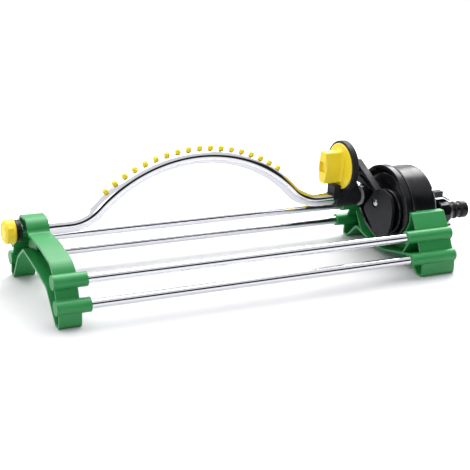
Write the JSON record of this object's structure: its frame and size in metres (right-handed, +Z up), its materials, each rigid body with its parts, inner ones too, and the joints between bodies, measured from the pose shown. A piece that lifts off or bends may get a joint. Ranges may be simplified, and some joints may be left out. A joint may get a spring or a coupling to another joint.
{
  "type": "oscillating sprinkler",
  "caption": "Oscillating lawn sprinkler: arched aluminium spray tube with yellow nozzles, range dial, black water motor and hose nipple, on green moulded feet joined by aluminium rails.",
  "frame": {"origin": "on the ground, under the middle of the overall box", "axes": "+X along the rails from the capped end of the spray tube to the hose nipple; +Y to the back, the spray tube's side; +Z up"},
  "size_m": [0.4676, 0.1458, 0.117],
  "materials": {
    "green_plastic": "satin moulded",
    "yellow_plastic": "satin moulded",
    "black_plastic": "satin moulded",
    "grey_plastic": "satin moulded",
    "white_plastic": "natural moulded",
    "polished_aluminium": "polished drawn tube",
    "steel": "bright zinc plated",
    "black_rubber": "matt"
  },
  "bodies": {
    "base": {"left_foot": "green_plastic", "right_foot": "green_plastic", "rail_front_upper": "polished_aluminium", "rail_front_lower": "polished_aluminium", "rail_back_upper": "polished_aluminium", "rail_back_lower": "polished_aluminium", "tube_bush": "black_plastic", "front_cover": "black_plastic", "motor_gasket": "black_rubber", "motor_body": "black_plastic", "cover_screws": "steel", "gearbox_plate": "white_plastic", "gear_arbors": "steel", "spout_clip": "black_plastic", "hose_nipple": "black_plastic", "inlet_washer": "black_rubber", "filter_screen": "white_plastic", "swivel_washer": "grey_plastic", "outlet_seal": "black_rubber"},
    "spray": {"spray_tube": "polished_aluminium", "nozzle_01": "yellow_plastic", "nozzle_02": "yellow_plastic", "nozzle_03": "yellow_plastic", "nozzle_04": "yellow_plastic", "nozzle_05": "yellow_plastic", "nozzle_06": "yellow_plastic", "nozzle_07": "yellow_plastic", "nozzle_08": "yellow_plastic", "nozzle_09": "yellow_plastic", "nozzle_10": "yellow_plastic", "nozzle_11": "yellow_plastic", "nozzle_12": "yellow_plastic", "nozzle_13": "yellow_plastic", "nozzle_14": "yellow_plastic", "nozzle_15": "yellow_plastic", "nozzle_16": "yellow_plastic", "nozzle_17": "yellow_plastic", "nozzle_18": "yellow_plastic", "end_fitting": "black_plastic", "cap_seal": "black_rubber", "dial_bracket": "black_plastic", "rocker_pin": "steel"},
    "cap": {"end_cap": "yellow_plastic"},
    "dial": {"range_dial": "yellow_plastic", "dial_screw": "steel"},
    "rod": {"connecting_rod": "black_plastic", "rod_screw": "steel"},
    "crank": {"crank": "black_plastic", "output_wheel": "white_plastic"},
    "second_gear": {"second_wheel": "white_plastic"},
    "first_gear": {"first_wheel": "white_plastic"},
    "rotor": {"turbine_pinion": "white_plastic", "turbine": "white_plastic"},
    "nut": {"inlet_nut": "black_plastic"}
  },
  "joints": [
    {"name": "spray_swing", "type": "hinge", "parent": "base", "child": "spray", "pos_m": [-0.04985, 0.029, 0.0544], "axis": [1, 0, 0], "range_deg": [-27.5, 35.5]},
    {"name": "range_dial_turn", "type": "hinge", "parent": "spray", "child": "dial", "pos_m": [0.10175, 0.029, 0.0862], "axis": [1, 0, 0], "range_deg": [-90, 90]},
    {"name": "rod_swing", "type": "hinge", "parent": "spray", "child": "rod", "pos_m": [0.12655, 0.036, 0.0825], "axis": [1, 0, 0], "range_deg": [-17, 13]},
    {"name": "end_cap_turn", "type": "hinge", "parent": "spray", "child": "cap", "pos_m": [-0.22825, 0.029, 0.0544], "axis": [-1, 0, 0], "range_deg": [0, 360]},
    {"name": "crank_spin", "type": "hinge", "parent": "base", "child": "crank", "pos_m": [0.12975, -0.00879, 0.06359], "axis": [1, 0, 0], "continuous": true},
    {"name": "second_gear_spin", "type": "hinge", "parent": "base", "child": "second_gear", "pos_m": [0.14475, -0.02205, 0.05033], "axis": [1, 0, 0], "continuous": true},
    {"name": "first_gear_spin", "type": "hinge", "parent": "base", "child": "first_gear", "pos_m": [0.14775, -0.00443, 0.04392], "axis": [1, 0, 0], "continuous": true},
    {"name": "turbine_spin", "type": "hinge", "parent": "base", "child": "rotor", "pos_m": [0.16275, 0.01181, 0.03455], "axis": [1, 0, 0], "continuous": true},
    {"name": "inlet_nut_turn", "type": "hinge", "parent": "base", "child": "nut", "pos_m": [0.20475, 0, 0.0378], "axis": [1, 0, 0], "continuous": true}
  ],
  "couplings": [
    {"joint": "rod_swing", "follows": "spray_swing", "ratio": -0.45},
    {"joint": "second_gear_spin", "follows": "crank_spin", "ratio": -4},
    {"joint": "first_gear_spin", "follows": "crank_spin", "ratio": 16},
    {"joint": "turbine_spin", "follows": "crank_spin", "ratio": -64}
  ]
}
